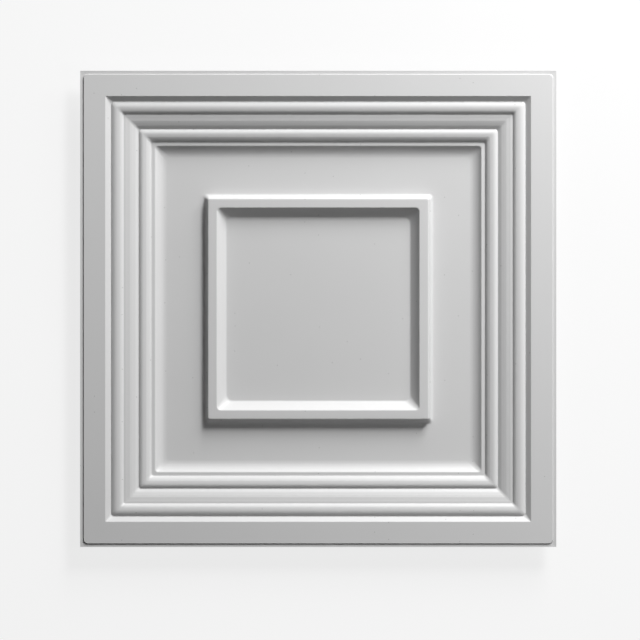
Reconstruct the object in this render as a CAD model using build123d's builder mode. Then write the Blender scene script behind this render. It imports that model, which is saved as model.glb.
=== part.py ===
"""Square wall panel, thermoformed in one piece from thin plastic sheet.

A narrow trimmed flange runs round the outside, a little below the flat raised border. A stepped
moulding of two beads, an ovolo and a cove falls from the border to the sunk field. A raised square
frame stands in the middle of the field. The back is hollow, because the sheet has one thickness all
over, and the panel rests on the back of its field and of the recess inside the frame.

Millimetres. +Z is the face that looks into the room. The origin is the centre of the panel on the
plane that its back rests on.
"""

import os

from build123d import *

# Sheet
panel_size = 304.8
sheet_thickness = 0.8

# Flange and raised border
flange_width = 2.2
flange_drop = 0.85
border_wall_run = 0.4
border_width = 13.6
border_corner_radius = 2.6
border_rim_radius = 0.4

# Moulding between the border and the field, each run measured across it
step_run = 3.4
step_drop = 2.7
outer_bead_width = 8.1
outer_bead_rise = 1.6
outer_bead_fall = 0.8
ovolo_run = 9.4
ovolo_drop = 3.1
inner_bead_width = 8.1
inner_bead_rise = 1.7
inner_bead_fall = 1.7
fillet_width = 2.4
cove_run = 7.6
cove_drop = 3.6

# Sunk field and the raised frame on it
field_width = 24.3
frame_height = 5.5
frame_wall_run = 2.1
frame_width = 5.8
recess_wall_run = 5.8
recess_wall_sag = 0.3

# Levels of the face, above the plane that the back rests on
sunk_level = sheet_thickness
fillet_level = sunk_level + cove_drop
inner_bead_level = fillet_level + inner_bead_fall
ovolo_level = inner_bead_level + ovolo_drop
outer_bead_level = ovolo_level + outer_bead_fall
border_level = outer_bead_level + step_drop
flange_level = border_level - flange_drop
frame_level = sunk_level + frame_height

# Distances of the profile's edges from the panel's outer edge
wall_foot = flange_width
border_start = wall_foot + border_wall_run
border_end = border_start + border_width
outer_bead_start = border_end + step_run
outer_bead_end = outer_bead_start + outer_bead_width
inner_bead_start = outer_bead_end + ovolo_run
inner_bead_end = inner_bead_start + inner_bead_width
fillet_end = inner_bead_end + fillet_width
field_start = fillet_end + cove_run
frame_foot = field_start + field_width
frame_start = frame_foot + frame_wall_run
frame_end = frame_start + frame_width
recess_start = frame_end + recess_wall_run

half_size = panel_size / 2


def across(distance, level):
    """A point of the profile on the left side of the panel, from its distance to the outer edge."""
    return (distance - half_size, level)


with BuildPart() as quarter:
    # The section of the sheet from the outer edge to the centre: the face's line, made as thick as
    # the sheet on its back
    with BuildSketch(Plane.XZ):
        with BuildLine() as face_line:
            Polyline(
                across(0, flange_level),
                across(wall_foot, flange_level),
                across(border_start, border_level),
                across(border_end, border_level),
                across(outer_bead_start, outer_bead_level),
            )
            SagittaArc(
                across(outer_bead_start, outer_bead_level),
                across(outer_bead_end, ovolo_level),
                outer_bead_rise,
            )
            TangentArc(
                across(outer_bead_end, ovolo_level),
                across(inner_bead_start, inner_bead_level),
                tangent=(1, 0),
            )
            SagittaArc(
                across(inner_bead_start, inner_bead_level),
                across(inner_bead_end, fillet_level),
                inner_bead_rise,
            )
            Line(across(inner_bead_end, fillet_level), across(fillet_end, fillet_level))
            TangentArc(
                across(field_start, sunk_level),
                across(fillet_end, fillet_level),
                tangent=(-1, 0),
            )
            Polyline(
                across(field_start, sunk_level),
                across(frame_foot, sunk_level),
                across(frame_start, frame_level),
                across(frame_end, frame_level),
            )
            SagittaArc(
                across(frame_end, frame_level),
                across(recess_start, sunk_level),
                -recess_wall_sag,
            )
            Line(across(recess_start, sunk_level), across(half_size, sunk_level))
            offset(amount=sheet_thickness, side=Side.RIGHT, kind=Kind.INTERSECTION)
        make_face()
    extrude(amount=half_size, both=True)

    # The mitre: only the quarter between two diagonals is kept
    with BuildSketch(Plane.XY):
        Polygon((0, 0), (-half_size, half_size), (-half_size, -half_size), align=None)
    extrude(amount=border_level, mode=Mode.INTERSECT)

with BuildPart() as panel:
    with PolarLocations(0, 4):
        add(quarter.part)

    # The corners of the low wall between the flange and the border, on the face and on the back
    wall_corners = panel.edges().filter_by(
        lambda edge: abs(edge.bounding_box().size.Z - flange_drop) < 0.001
    )
    back_corners, face_corners = wall_corners.group_by(
        lambda edge: edge.distance_to(Vertex(0, 0, 0))
    )
    fillet(back_corners, border_corner_radius - sheet_thickness)
    fillet(face_corners, border_corner_radius)

    # The rim, where the wall turns over into the border
    border_face = panel.faces().sort_by(Axis.Z)[-1]
    fillet(border_face.outer_wire().edges(), border_rim_radius)

panel.part.label = "panel"

os.makedirs("parts", exist_ok=True)
export_step(panel.part, "parts/panel.step")
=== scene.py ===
"""Looks of a square wall panel, thermoformed in one piece from thin white vinyl sheet.

The sheet is meshed as rings that follow its moulded section round the panel, face and back, with
the soft creases and round corners that forming leaves. It then gets its satin finish, a studio
floor, four soft lights, most of them from the upper right, and a camera that looks straight down.

Lengths are millimetres where a name or a docstring says so, and metres elsewhere. The frame is the
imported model's: +Z out of the face, with the origin at the panel's centre on the plane that its back
rests on.
"""

import logging
import math
from collections.abc import Iterable, Mapping, Sequence
from dataclasses import dataclass, replace
from enum import Enum
from typing import Any

import bmesh
import bpy
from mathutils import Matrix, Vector, noise


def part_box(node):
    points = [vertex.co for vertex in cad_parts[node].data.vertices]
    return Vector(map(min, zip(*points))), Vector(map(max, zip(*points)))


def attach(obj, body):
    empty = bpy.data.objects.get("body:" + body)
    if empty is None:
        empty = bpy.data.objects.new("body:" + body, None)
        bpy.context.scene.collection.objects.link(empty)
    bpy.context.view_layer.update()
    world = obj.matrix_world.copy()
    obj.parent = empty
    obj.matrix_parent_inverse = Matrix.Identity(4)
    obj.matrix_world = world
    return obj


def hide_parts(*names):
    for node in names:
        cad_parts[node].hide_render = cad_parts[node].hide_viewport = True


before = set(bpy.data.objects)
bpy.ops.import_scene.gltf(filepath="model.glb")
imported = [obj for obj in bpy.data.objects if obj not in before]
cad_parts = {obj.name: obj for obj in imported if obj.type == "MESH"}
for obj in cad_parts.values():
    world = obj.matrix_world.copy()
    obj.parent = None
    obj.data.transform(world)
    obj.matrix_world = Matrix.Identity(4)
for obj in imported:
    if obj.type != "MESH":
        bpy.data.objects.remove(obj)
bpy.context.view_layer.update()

log = logging.getLogger("wall_panel")

MM = 0.001
PANEL_NODE = "panel"
ROOT_BODY = "root"

MEAN_NOISE = 0.5
QUARTER_TURN = math.radians(90)
LEVEL_WAY = Vector((1, 0))


class Operation(Enum):
    """The sums that shader expressions use, as Math node operations."""

    ADD = "ADD"
    SUBTRACT = "SUBTRACT"
    MULTIPLY = "MULTIPLY"
    MAXIMUM = "MAXIMUM"
    SIZE = "ABSOLUTE"
    LESS = "LESS_THAN"
    GREATER = "GREATER_THAN"


class Graph:
    """A material's or the world's node tree, with one method that makes any node."""

    def __init__(self, tree: bpy.types.NodeTree) -> None:
        """Takes the tree over and clears it."""
        self.tree = tree
        tree.nodes.clear()

    def node(
        self,
        kind: str,
        settings: Mapping[str, Any] | None = None,
        inputs: Mapping[str | int, Any] | None = None,
    ) -> bpy.types.Node:
        """Adds one node.

        Args:
            kind: The node's type, such as "ShaderNodeBump".
            settings: Its own properties, set before its sockets.
            inputs: A value, a Term or a node's output for each named or numbered socket.

        Returns:
            The new node.
        """
        made = self.tree.nodes.new(kind)
        for name, value in (settings or {}).items():
            setattr(made, name, value)
        for key, value in (inputs or {}).items():
            if isinstance(value, Term):
                value = value.socket
            if isinstance(value, bpy.types.NodeSocket):
                self.tree.links.new(value, made.inputs[key])
            else:
                made.inputs[key].default_value = value
        return made

    def term(self, made: bpy.types.Node, output: str | int = 0) -> "Term":
        """Wraps one output of a node for use in expressions."""
        return Term(self, made.outputs[output])


class Term:
    """A value in a node tree that Python's operators work on, by adding Math nodes."""

    def __init__(self, graph: Graph, socket: bpy.types.NodeSocket) -> None:
        """Holds the socket and the graph that it belongs to."""
        self.graph = graph
        self.socket = socket

    def _sum(self, operation: Operation, first: Any, second: Any = 0) -> "Term":
        """Adds the Math node of one operation on one or two values."""
        made = self.graph.node(
            "ShaderNodeMath", {"operation": operation.value}, {0: first, 1: second}
        )
        return Term(self.graph, made.outputs[0])

    def __add__(self, other: Any) -> "Term":
        """The two added."""
        return self._sum(Operation.ADD, self, other)

    __radd__ = __add__

    def __sub__(self, other: Any) -> "Term":
        """The other taken from this."""
        return self._sum(Operation.SUBTRACT, self, other)

    def __rsub__(self, other: Any) -> "Term":
        """This taken from the other."""
        return self._sum(Operation.SUBTRACT, other, self)

    def __mul__(self, other: Any) -> "Term":
        """The two multiplied."""
        return self._sum(Operation.MULTIPLY, self, other)

    __rmul__ = __mul__

    def __lt__(self, other: Any) -> "Term":
        """1 where this is less than the other, and 0 elsewhere."""
        return self._sum(Operation.LESS, self, other)

    def __gt__(self, other: Any) -> "Term":
        """1 where this is more than the other, and 0 elsewhere; the reflected form of less."""
        return self._sum(Operation.GREATER, self, other)

    def __abs__(self) -> "Term":
        """Its size without its sign."""
        return self._sum(Operation.SIZE, self)

    def at_least(self, other: Any) -> "Term":
        """The larger of the two."""
        return self._sum(Operation.MAXIMUM, self, other)


def seen_directly(graph: Graph) -> Term:
    """1 for rays that see a surface itself: from the camera, in a reflection or through glass.

    Args:
        graph: The tree that asks.

    Returns:
        The factor, 0 for rays that only bring light.
    """
    path = graph.node("ShaderNodeLightPath")
    camera = graph.term(path, "Is Camera Ray")
    glossy = graph.term(path, "Is Glossy Ray")
    return camera.at_least(glossy).at_least(graph.term(path, "Is Transmission Ray"))


@dataclass(frozen=True)
class SatinVinyl:
    """White vinyl sheet with a satin skin, slightly uneven as thermoformed sheet is.

    Attributes:
        colour: The sheet's own linear grey.
        mottle: How far the grey wanders, as a share.
        mottle_mm: Size of the patches in which it wanders.
        speck_colour: Linear grey of the few dust specks moulded into the skin.
        speck_spacing_mm: Mean distance between specks' cells.
        speck_radius: A speck's radius, as a share of its cell.
        speck_share: The share of cells that hold a speck.
        roughness: Mean roughness of the skin.
        roughness_swing: How far roughness wanders either way.
        roughness_mm: Size of the patches in which it wanders.
        refraction: Index of refraction of the vinyl.
        sheen: How much of that refraction's reflection the fine tooth leaves, 0.5 for all of it.
        grain_mm: Size of the fine tooth of the skin.
        grain_depth_mm: Its depth.
        ripple_mm: Size of the soft ripple left by forming.
        ripple_depth_mm: Its depth.
        streak_mm: Spacing of the faint lines that run along the moulding, from the mould's cutter.
        streak_depth_mm: Their depth.
    """

    colour: float = 0.60
    mottle: float = 0.025
    mottle_mm: float = 38.0
    speck_colour: float = 0.42
    speck_spacing_mm: float = 9.0
    speck_radius: float = 0.035
    speck_share: float = 0.10
    roughness: float = 0.42
    roughness_swing: float = 0.05
    roughness_mm: float = 14.0
    refraction: float = 1.5
    sheen: float = 0.3
    grain_mm: float = 0.28
    grain_depth_mm: float = 0.004
    ripple_mm: float = 3.2
    ripple_depth_mm: float = 0.010
    streak_mm: float = 2.2
    streak_depth_mm: float = 0.20

    def _noise(self, graph: Graph, place: Term, size_mm: float, detail: float) -> Term:
        """Noise about 0.5 with features of a given size.

        Args:
            graph: The material's tree.
            place: Where the surface is, in metres.
            size_mm: Size of the noise's features.
            detail: Octaves of finer noise on it.

        Returns:
            The noise's value.
        """
        made = graph.node(
            "ShaderNodeTexNoise",
            {"noise_dimensions": "3D"},
            {
                "Vector": place,
                "Scale": 1 / (size_mm * MM),
                "Detail": detail,
            },
        )
        return graph.term(made, "Fac")

    def _specks(self, graph: Graph, place: Term) -> Term:
        """A mask of the sparse specks: 1 inside one, 0 elsewhere."""
        settings = {"voronoi_dimensions": "2D", "feature": "F1"}
        cells = graph.node(
            "ShaderNodeTexVoronoi",
            settings,
            {
                "Vector": place,
                "Scale": 1 / (self.speck_spacing_mm * MM),
                "Randomness": 1.0,
            },
        )
        chosen = graph.node("ShaderNodeSeparateColor", {}, {0: cells.outputs["Color"]})
        near = graph.term(cells, "Distance") < self.speck_radius
        return near * (graph.term(chosen, 0) < self.speck_share)

    def _streaks(self, graph: Graph, place: Term, moulding: tuple[float, float]) -> Term:
        """The height of the faint lines along the moulding, which fade out at its two edges.

        Args:
            graph: The material's tree.
            place: Where the surface is, in metres.
            moulding: Distances of the moulding's inner and outer edge from the centre, in metres.

        Returns:
            The height, in metres.
        """
        inner, outer = moulding
        across = graph.node("ShaderNodeSeparateXYZ", {}, {0: place})
        reach = abs(graph.term(across, "X")).at_least(abs(graph.term(across, "Y")))
        lines = graph.node(
            "ShaderNodeTexNoise",
            {"noise_dimensions": "1D"},
            {"W": reach, "Scale": 1 / (self.streak_mm * MM), "Detail": 1.0},
        )
        half_width = (outer - inner) / 2
        fade = (1 / half_width**2 * ((reach - inner) * (outer - reach))).at_least(0.0)
        return self.streak_depth_mm * MM * fade * (graph.term(lines, "Fac") - MEAN_NOISE)

    def material(self, name: str, moulding: tuple[float, float]) -> bpy.types.Material:
        """Makes the material.

        Args:
            name: The material's name.
            moulding: Distances of the moulding's inner and outer edge from the centre, in metres.

        Returns:
            A new material with its node tree.
        """
        made = bpy.data.materials.new(name)
        made.use_nodes = True
        graph = Graph(made.node_tree)
        place = graph.term(graph.node("ShaderNodeTexCoord"), "Object")

        patches = self._noise(graph, place, self.mottle_mm, detail=2.0)
        tone = self.colour * (1 + self.mottle * (patches - MEAN_NOISE))
        grey = tone - (tone - self.speck_colour) * self._specks(graph, place)
        skin = graph.node("ShaderNodeCombineColor", {}, {0: grey, 1: grey, 2: grey})

        grain = self._noise(graph, place, self.grain_mm, detail=1.0)
        ripple = self._noise(graph, place, self.ripple_mm, detail=1.5)
        height = self.grain_depth_mm * MM * grain + self.ripple_depth_mm * MM * ripple
        height = height + self._streaks(graph, place, moulding)
        bump = graph.node(
            "ShaderNodeBump", {}, {"Height": height, "Strength": 1.0, "Distance": 1.0}
        )
        worn = self._noise(graph, place, self.roughness_mm, detail=2.0)
        shader = graph.node(
            "ShaderNodeBsdfPrincipled",
            {},
            {
                "Base Color": skin.outputs[0],
                "Roughness": self.roughness + 2 * self.roughness_swing * (worn - MEAN_NOISE),
                "IOR": self.refraction,
                "Specular IOR Level": self.sheen,
                "Normal": bump.outputs[0],
            },
        )
        graph.node("ShaderNodeOutputMaterial", {}, {"Surface": shader.outputs[0]})
        return made


@dataclass(frozen=True)
class Station:
    """A point of the sheet's section, which one ring of the mesh follows round the panel.

    Attributes:
        inset: Distance from the panel's outer edge, in millimetres.
        level: Height above the plane the back rests on, in millimetres.
        turn: Radius of the ring's four corners in plan, in millimetres.
        bend: Radius of the section's crease here, 0 where the section runs on.
    """

    inset: float
    level: float
    turn: float
    bend: float = 0.0

    def towards(self, other: "Station", share: float) -> "Station":
        """The smooth point that lies a given share of the way to another station."""
        return Station(
            self.inset + share * (other.inset - self.inset),
            self.level + share * (other.level - self.level),
            self.turn + share * (other.turn - self.turn),
        )


@dataclass
class Section:
    """The line of the face or the back from the outer edge inwards, drawn station by station.

    Lengths are millimetres. A run is measured inwards. A rise is negative where the line falls.

    Attributes:
        stations: What is drawn so far.
        arc_step: Angle that one piece of an arc turns through, more or less, in degrees.
        least_arc_pieces: The fewest pieces of an arc.
        bead_pieces: How many pieces a bead has.
        outer_fullness: Power of the curve of a bead's outer half, 2 for a parabola.
        inner_fullness: The same for its inner half.
        crease_pieces: How many pieces a rounded crease has.
        crease_share: The most of either neighbouring piece that it takes up.
        least_half_turn: Half the turn, in degrees, below which a crease stays as it is.
        least_back_bend: The least radius of a crease on the back.
        least_back_turn: The least radius in plan of the back's corners near the outer edge.
        near_edge: How far in from the outer edge those corners are.
    """

    stations: list[Station]
    arc_step: float = 7.0
    least_arc_pieces: int = 6
    bead_pieces: int = 16
    outer_fullness: float = 2.2
    inner_fullness: float = 2.8
    crease_pieces: int = 4
    crease_share: float = 0.45
    least_half_turn: float = 1.0
    least_back_bend: float = 0.1
    least_back_turn: float = 0.6
    near_edge: float = 4.0

    @property
    def last(self) -> Station:
        """The station that the line has reached."""
        return self.stations[-1]

    def line(self, run: float, rise: float, turn: float, bend: float) -> None:
        """Goes straight on to a new crease.

        Args:
            run: How far inwards.
            rise: How far up.
            turn: Radius of the corners in plan at the line's end.
            bend: Radius of the crease at its end.
        """
        start = self.last
        self.stations.append(Station(start.inset + run, start.level + rise, turn, bend))

    def arc(
        self, run: float, rise: float, sagitta: float, turn: float, bend: float
    ) -> None:
        """Goes on along an arc to a new crease.

        Args:
            run: How far inwards the arc's end is.
            rise: How far up its end is.
            sagitta: Height of the arc over its chord, negative for a hollow.
            turn: Radius of the corners in plan at the arc's end.
            bend: Radius of the crease at its end.
        """
        start = self.last
        end = Station(start.inset + run, start.level + rise, turn, bend)
        chord = math.hypot(run, rise)
        half_angle = 2 * math.atan(2 * sagitta / chord)
        radius = chord / 2 / math.sin(half_angle)
        wanted = round(abs(half_angle) * 2 / math.radians(self.arc_step))
        pieces = max(self.least_arc_pieces, wanted)
        for piece in range(1, pieces):
            angle = half_angle * (2 * piece / pieces - 1)
            along = 0.5 + math.sin(angle) * radius / chord
            out = radius * (math.cos(angle) - math.cos(half_angle))
            middle = start.towards(end, along)
            self.stations.append(
                replace(
                    middle,
                    inset=middle.inset - out * rise / chord,
                    level=middle.level + out * run / chord,
                )
            )
        self.stations.append(end)

    def bead(
        self, run: float, rise: float, height: float, turn: float, bend: float
    ) -> None:
        """Goes on over a bead, a little fuller on its inner side, to a new crease.

        Args:
            run: How far inwards the bead's end is.
            rise: How far up its end is.
            height: Height of the bead over its chord.
            turn: Radius of the corners in plan at the bead's end.
            bend: Radius of the crease at its end.
        """
        start = self.last
        end = Station(start.inset + run, start.level + rise, turn, bend)
        for piece in range(1, self.bead_pieces):
            share = piece / self.bead_pieces
            fullness = self.outer_fullness if share < 0.5 else self.inner_fullness
            middle = start.towards(end, share)
            over = height * (1 - abs(1 - 2 * share) ** fullness)
            self.stations.append(replace(middle, level=middle.level + over))
        self.stations.append(end)

    def flat(self, run: float, pieces: int, turn: float, bend: float) -> None:
        """Goes on level, in several pieces, to a new crease.

        Args:
            run: How far inwards.
            pieces: How many rings the flat is divided into.
            turn: Radius of the corners in plan at the flat's end.
            bend: Radius of the crease at its end.
        """
        start = self.last
        end = Station(start.inset + run, start.level, turn, bend)
        self.stations += [start.towards(end, piece / pieces) for piece in range(1, pieces)]
        self.stations.append(end)

    def softened(self) -> list[Station]:
        """The section's stations, with a curve in place of each crease."""
        soft = [self.stations[0]]
        for before, here, after in zip(self.stations, self.stations[1:], self.stations[2:]):
            soft += self._rounded(before, here, after)
        return [*soft, self.stations[-1]]

    def _rounded(self, before: Station, here: Station, after: Station) -> list[Station]:
        """Rounds one crease with a curve that runs on smoothly on both sides.

        Args:
            before: The station before the crease.
            here: The crease.
            after: The station after it.

        Returns:
            The curve's stations, or the crease's own one where there is nothing to round.
        """
        point = Vector((here.inset, here.level))
        back = Vector((before.inset, before.level)) - point
        forward = Vector((after.inset, after.level)) - point
        half_turn = (math.pi - back.angle(forward)) / 2
        if here.bend <= 0 or half_turn < math.radians(self.least_half_turn):
            return [here]
        room = self.crease_share * min(back.length, forward.length)
        reach = min(here.bend * math.tan(half_turn), room)
        first = point + reach * back.normalized()
        final = point + reach * forward.normalized()
        curve = []
        for piece in range(self.crease_pieces + 1):
            share = piece / self.crease_pieces
            bezier = first * (1 - share) ** 2 + final * share**2
            bezier += point * 2 * share * (1 - share)
            curve.append(Station(bezier.x, bezier.y, here.turn))
        return curve

    def behind(self, thickness: float) -> "Section":
        """Draws the back's section from this one of the face, one thickness behind it.

        Args:
            thickness: Thickness of the sheet.

        Returns:
            A section with a station behind each of this one's, creases not yet rounded.
        """
        points = [Vector((each.inset, each.level)) for each in self.stations]
        ways = [(after - before).normalized() for before, after in zip(points, points[1:])]
        back = []
        for here, point, way_in, way_out in zip(
            self.stations, points, [LEVEL_WAY, *ways], [*ways, LEVEL_WAY]
        ):
            ahead = way_in + way_out
            normal = Vector((ahead.y, -ahead.x)).normalized()
            depth = thickness / normal.dot(Vector((way_in.y, -way_in.x)))
            place = point + depth * normal
            bend, turn = here.bend, here.turn
            if bend > 0 and way_in.cross(way_out) < 0:
                bend = max(self.least_back_bend, bend - thickness)
            elif bend > 0:
                bend += thickness
            if here.inset < self.near_edge:
                turn = max(self.least_back_turn, turn - thickness)
            back.append(Station(max(0.0, place.x), place.y, turn, bend))
        return replace(self, stations=back)


@dataclass
class FormedSheet:
    """The panel itself: one vinyl sheet, formed into a moulded relief and trimmed square.

    All lengths are millimetres. Runs and widths are measured across the moulding.

    Attributes:
        size: Side of the panel.
        height: Height of the raised border above the plane the back rests on.
        thickness: Thickness of the sheet.
        flange_width: Width of the trimmed flange.
        flange_drop: How far below the border the flange's inner side lies.
        flange_lift: How far its outer edge stands above its inner side.
        border_wall_run: Run of the low wall between the flange and the border.
        border_width: Width of the raised border.
        step_run: Run of the slope from the border down to the outer bead.
        step_drop: Its drop.
        outer_bead_width: Width of the outer bead.
        outer_bead_rise: Its height over its chord.
        outer_bead_fall: How far its inner side lies below its outer one.
        ovolo_run: Run of the ovolo between the beads.
        ovolo_drop: Its drop.
        inner_bead_width: Width of the inner bead.
        inner_bead_rise: Its height over its chord.
        inner_bead_fall: How far its inner side lies below its outer one.
        fillet_width: Width of the level fillet between the inner bead and the cove.
        cove_run: Run of the cove that falls to the field.
        cove_drop: Its drop.
        field_width: Width of the sunk field.
        frame_height: Height of the raised frame above the field.
        frame_wall_run: Run of the frame's outer wall.
        frame_width: Width of the frame's top.
        recess_wall_run: Run of the slope from the frame down to the recess.
        recess_wall_sag: How far that slope's middle lies below its chord.
        middle: Half the side of the recess's middle, which one face fills.
        wave_mm: Size of the soft waves in the face.
        wave_depth: The most that they sink it.
        wave_slice: Which slice of the noise they follow.
        side_pieces: How many pieces each side of a ring has.
        corner_pieces: How many pieces each of its corners has.
        sharp_angle: Angle between two faces from which their edge looks sharp, in degrees.
    """

    size: float
    height: float
    thickness: float = 0.8
    flange_width: float = 2.2
    flange_drop: float = 0.85
    flange_lift: float = 0.2
    border_wall_run: float = 0.15
    border_width: float = 13.85
    step_run: float = 3.4
    step_drop: float = 2.7
    outer_bead_width: float = 8.1
    outer_bead_rise: float = 1.7
    outer_bead_fall: float = 0.8
    ovolo_run: float = 9.4
    ovolo_drop: float = 3.1
    inner_bead_width: float = 8.1
    inner_bead_rise: float = 1.8
    inner_bead_fall: float = 1.7
    fillet_width: float = 2.4
    cove_run: float = 7.6
    cove_drop: float = 3.6
    field_width: float = 24.3
    frame_height: float = 5.5
    frame_wall_run: float = 2.1
    frame_width: float = 5.8
    recess_wall_run: float = 5.8
    recess_wall_sag: float = 0.3
    middle: float = 2.0
    wave_mm: float = 26.0
    wave_depth: float = 0.03
    wave_slice: float = 310.0
    side_pieces: int = 48
    corner_pieces: int = 8
    sharp_angle: float = 50.0

    def face(self) -> Section:
        """Draws the face's section from the outer edge to the middle of the recess."""
        edge_level = self.height - self.flange_drop + self.flange_lift
        section = Section([Station(0, edge_level, turn=0.15)])
        section.line(self.flange_width, -self.flange_lift, turn=2.2, bend=0.15)
        section.line(self.border_wall_run, self.flange_drop, turn=2.6, bend=0.15)
        section.flat(self.border_width, pieces=4, turn=0.6, bend=0.7)
        section.line(self.step_run, -self.step_drop, turn=2.0, bend=1.1)
        fall, height = -self.outer_bead_fall, self.outer_bead_rise
        section.bead(self.outer_bead_width, fall, height, turn=1.0, bend=0.5)
        fall, bulge = -self.ovolo_drop, self._tangent_sagitta(self.ovolo_run, self.ovolo_drop)
        section.arc(self.ovolo_run, fall, bulge, turn=1.6, bend=1.3)
        fall, height = -self.inner_bead_fall, self.inner_bead_rise
        section.bead(self.inner_bead_width, fall, height, turn=1.6, bend=0.5)
        section.flat(self.fillet_width, pieces=1, turn=2.0, bend=0.8)
        fall, hollow = -self.cove_drop, -self._tangent_sagitta(self.cove_run, self.cove_drop)
        section.arc(self.cove_run, fall, hollow, turn=3.0, bend=0)
        section.flat(self.field_width, pieces=5, turn=2.2, bend=2.2)
        section.line(self.frame_wall_run, self.frame_height, turn=1.0, bend=0.9)
        section.flat(self.frame_width, pieces=2, turn=2.4, bend=0.9)
        fall, hollow = -self.frame_height, -self.recess_wall_sag
        section.arc(self.recess_wall_run, fall, hollow, turn=4.0, bend=2.2)
        to_middle = self.size / 2 - section.last.inset - self.middle
        section.flat(to_middle, pieces=9, turn=0.5, bend=0)
        return section

    @staticmethod
    def _tangent_sagitta(run: float, drop: float) -> float:
        """Height over its chord of an arc that starts or ends level and falls by a given drop."""
        return math.hypot(run, drop) / 2 * math.tan(math.atan(drop / run) / 2)

    def _ring(self, station: Station) -> list[Vector]:
        """The points of a station's ring, in metres, from one corner round to it again.

        Args:
            station: The point of the section that the ring follows.

        Returns:
            As many points for every station, so that neighbouring rings join.
        """
        centre = self.size / 2 - station.inset - station.turn
        away = math.sqrt(2) * centre
        points = []
        for quarter in range(4):
            corner = quarter * QUARTER_TURN
            middle = corner + QUARTER_TURN / 2
            for piece in range(self.corner_pieces + 1):
                angle = corner + QUARTER_TURN * piece / self.corner_pieces
                points.append(
                    (
                        away * math.cos(middle) + station.turn * math.cos(angle),
                        away * math.sin(middle) + station.turn * math.sin(angle),
                    )
                )
            start = points[-1]
            ahead = corner + 2 * QUARTER_TURN
            for piece in range(1, self.side_pieces):
                along = 2 * centre * piece / self.side_pieces
                points.append(
                    (
                        start[0] + along * math.cos(ahead),
                        start[1] + along * math.sin(ahead),
                    )
                )
        return [Vector((x, y, station.level)) * MM for x, y in points]

    def _wave(self, point: Vector) -> float:
        """How far the face sinks at a point, in metres, as formed sheet is never quite flat."""
        place = Vector((point.x, point.y, self.wave_slice * MM)) / (self.wave_mm * MM)
        return self.wave_depth * MM * (1 + noise.noise(place)) / 2

    @staticmethod
    def _bridge(
        mesh: bmesh.types.BMesh, rings: Iterable[Sequence[bmesh.types.BMVert]]
    ) -> None:
        """Joins each ring to the next with a band of quads.

        Args:
            mesh: The mesh that holds the rings.
            rings: The rings in order, each with as many points.
        """
        rings = list(rings)
        for outer, inner in zip(rings, rings[1:]):
            for index in range(len(outer)):
                mesh.faces.new(
                    (outer[index - 1], outer[index], inner[index], inner[index - 1])
                )

    def build(self, name: str) -> bpy.types.Object:
        """Meshes the whole sheet as one closed skin.

        Args:
            name: The new object's name.

        Returns:
            The object, linked into the scene.
        """
        face = self.face()
        mesh = bmesh.new()
        face_rings, back_rings = [], []
        for station in face.softened():
            points = self._ring(station)
            for point in points:
                point.z -= self._wave(point)
            face_rings.append([mesh.verts.new(point) for point in points])
        for station in face.behind(self.thickness).softened():
            resting = replace(station, level=max(0.0, station.level))
            back_rings.append([mesh.verts.new(point) for point in self._ring(resting)])
        self._bridge(mesh, [*reversed(back_rings), *face_rings])
        mesh.faces.new(face_rings[-1])
        mesh.faces.new(reversed(back_rings[-1]))
        bmesh.ops.recalc_face_normals(mesh, faces=mesh.faces)

        data = bpy.data.meshes.new(name)
        mesh.to_mesh(data)
        mesh.free()
        data.shade_smooth()
        data.set_sharp_from_angle(angle=math.radians(self.sharp_angle))
        panel = bpy.data.objects.new(name, data)
        bpy.context.scene.collection.objects.link(panel)
        weighted = panel.modifiers.new("level_flats", "WEIGHTED_NORMAL")
        weighted.keep_sharp = True
        return panel

    def dress(self, panel: bpy.types.Object, finish: SatinVinyl) -> None:
        """Gives the sheet its finish and its place in the frame.

        Args:
            panel: The sheet's object.
            finish: What it is made of.
        """
        margin = self.flange_width + self.border_wall_run + self.border_width
        outer = self.size / 2 - margin
        inner = outer - sum(
            (
                self.step_run,
                self.outer_bead_width,
                self.ovolo_run,
                self.inner_bead_width,
                self.fillet_width,
                self.cove_run,
            )
        )
        moulding = (inner * MM, outer * MM)
        panel.data.materials.append(finish.material("satin_vinyl", moulding))
        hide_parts(PANEL_NODE)
        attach(panel, ROOT_BODY)


@dataclass(frozen=True)
class StudioFloor:
    """A plain pale floor that shows near white and keeps the panel's shadow.

    Attributes:
        side: Length of its side.
        bounce: Linear grey that it gives to the light around.
        glow: The part of its seen brightness that shadow doesn't reach.
        answer: The part that light and shadow draw on.
    """

    side: float = 8.0
    bounce: float = 0.75
    glow: float = 0.80
    answer: float = 0.15

    def build(self) -> bpy.types.Object:
        """Makes the floor under the panel, as stage."""
        mesh = bmesh.new()
        bmesh.ops.create_grid(mesh, x_segments=1, y_segments=1, size=self.side / 2)
        data = bpy.data.meshes.new("floor")
        mesh.to_mesh(data)
        mesh.free()
        floor = bpy.data.objects.new("floor", data)
        bpy.context.scene.collection.objects.link(floor)
        data.materials.append(self._material())
        return floor

    def _material(self) -> bpy.types.Material:
        """The floor's paint: plain to the light, near white to the eye."""
        made = bpy.data.materials.new("studio_floor")
        made.use_nodes = True
        graph = Graph(made.node_tree)
        plain = graph.node(
            "ShaderNodeBsdfDiffuse", {}, {"Color": (self.bounce,) * 3 + (1,)}
        )
        drawn = graph.node(
            "ShaderNodeBsdfDiffuse", {}, {"Color": (self.answer,) * 3 + (1,)}
        )
        glow = graph.node("ShaderNodeEmission", {}, {"Strength": self.glow})
        shown = graph.node(
            "ShaderNodeAddShader", {}, {0: drawn.outputs[0], 1: glow.outputs[0]}
        )
        mixed = graph.node(
            "ShaderNodeMixShader",
            {},
            {
                "Fac": seen_directly(graph),
                1: plain.outputs[0],
                2: shown.outputs[0],
            },
        )
        graph.node("ShaderNodeOutputMaterial", {}, {"Surface": mixed.outputs[0]})
        return made


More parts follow.
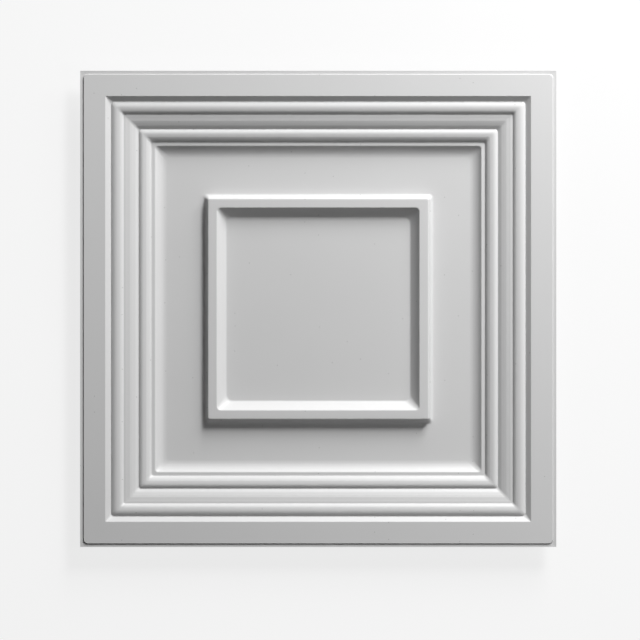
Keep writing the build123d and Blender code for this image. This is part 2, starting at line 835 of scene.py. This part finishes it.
@dataclass(frozen=True)
class SoftLight:
    """A square soft light that faces the panel.

    Attributes:
        name: The light's name.
        azimuth: Where it stands round the panel, in degrees from +X towards +Y.
        elevation: Its angle above the floor, in degrees.
        distance: How far it is from the panel's centre.
        side: Side of its square.
        power: Its power in watts.
    """

    name: str
    azimuth: float
    elevation: float
    distance: float
    side: float
    power: float

    def build(self) -> bpy.types.Object:
        """Hangs the light."""
        data = bpy.data.lights.new(self.name, "AREA")
        data.shape = "SQUARE"
        data.size = self.side
        data.energy = self.power
        light = bpy.data.objects.new(self.name, data)
        light.visible_camera = False
        round_panel, up = math.radians(self.azimuth), math.radians(self.elevation)
        towards = Vector(
            (
                math.cos(round_panel) * math.cos(up),
                math.sin(round_panel) * math.cos(up),
                math.sin(up),
            )
        )
        light.location = towards * self.distance
        light.rotation_euler = towards.to_track_quat("Z", "Y").to_euler()
        bpy.context.scene.collection.objects.link(light)
        return light


@dataclass(frozen=True)
class Backdrop:
    """White all round to the eye and in reflections, though nothing else gets light from it.

    Attributes:
        grey: Linear grey of what is seen of it.
    """

    grey: float = 1.0

    def build(self) -> bpy.types.World:
        """Fills the world."""
        world = bpy.data.worlds.new("studio")
        world.use_nodes = True
        graph = Graph(world.node_tree)
        backdrop = graph.node(
            "ShaderNodeBackground",
            {},
            {"Color": (self.grey,) * 3 + (1,), "Strength": seen_directly(graph)},
        )
        graph.node("ShaderNodeOutputWorld", {}, {"Surface": backdrop.outputs[0]})
        bpy.context.scene.world = world
        return world


@dataclass(frozen=True)
class OverheadCamera:
    """A camera straight above the panel, framed as the photograph frames it.

    Attributes:
        height: Height above the floor.
        subject_level: Level of the panel's flange, at which the framing is set.
        frame_width: Width that the picture shows at that level.
        frame_pixels: Width of the picture in pixels.
        panel_pixel: Where the panel's centre lies in the picture, from its upper left corner.
    """

    height: float = 2.0
    subject_level: float = 0.0119
    frame_width: float = 0.4097
    frame_pixels: int = 640
    panel_pixel: tuple[float, float] = (318.2, 308.9)

    def build(self) -> bpy.types.Object:
        """Makes the camera and gives it to the scene."""
        data = bpy.data.cameras.new("overhead_camera")
        away = self.height - self.subject_level
        data.lens = data.sensor_width * away / self.frame_width
        camera = bpy.data.objects.new("overhead_camera", data)
        step = self.frame_width / self.frame_pixels
        middle = self.frame_pixels / 2
        camera.location = (
            (middle - self.panel_pixel[0]) * step,
            (self.panel_pixel[1] - middle) * step,
            self.height,
        )
        bpy.context.scene.collection.objects.link(camera)
        bpy.context.scene.camera = camera
        return camera


def main() -> None:
    """Builds the panel, its finish and the studio in order."""
    logging.basicConfig(level=logging.INFO, format="%(name)s: %(message)s")
    bpy.context.scene.view_settings.view_transform = "Standard"
    low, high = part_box(PANEL_NODE)
    sheet = FormedSheet(size=(high.x - low.x) / MM, height=high.z / MM)
    panel = sheet.build("formed_sheet")
    sheet.dress(panel, SatinVinyl())
    log.info("formed sheet: %d faces", len(panel.data.polygons))
    studio = (
        StudioFloor(),
        Backdrop(),
        SoftLight("key_light", azimuth=60, elevation=34, distance=2.0, side=0.5, power=33.5),
        SoftLight("low_light", azimuth=75, elevation=20, distance=2.0, side=0.5, power=21.5),
        SoftLight("near_light", azimuth=50, elevation=22, distance=0.6, side=0.15, power=1.1),
        SoftLight("side_light", azimuth=-10, elevation=50, distance=0.8, side=0.2, power=0.8),
        OverheadCamera(),
    )
    for stand in studio:
        log.info("studio: %s", stand.build().name)


if __name__ == "__main__":
    main()
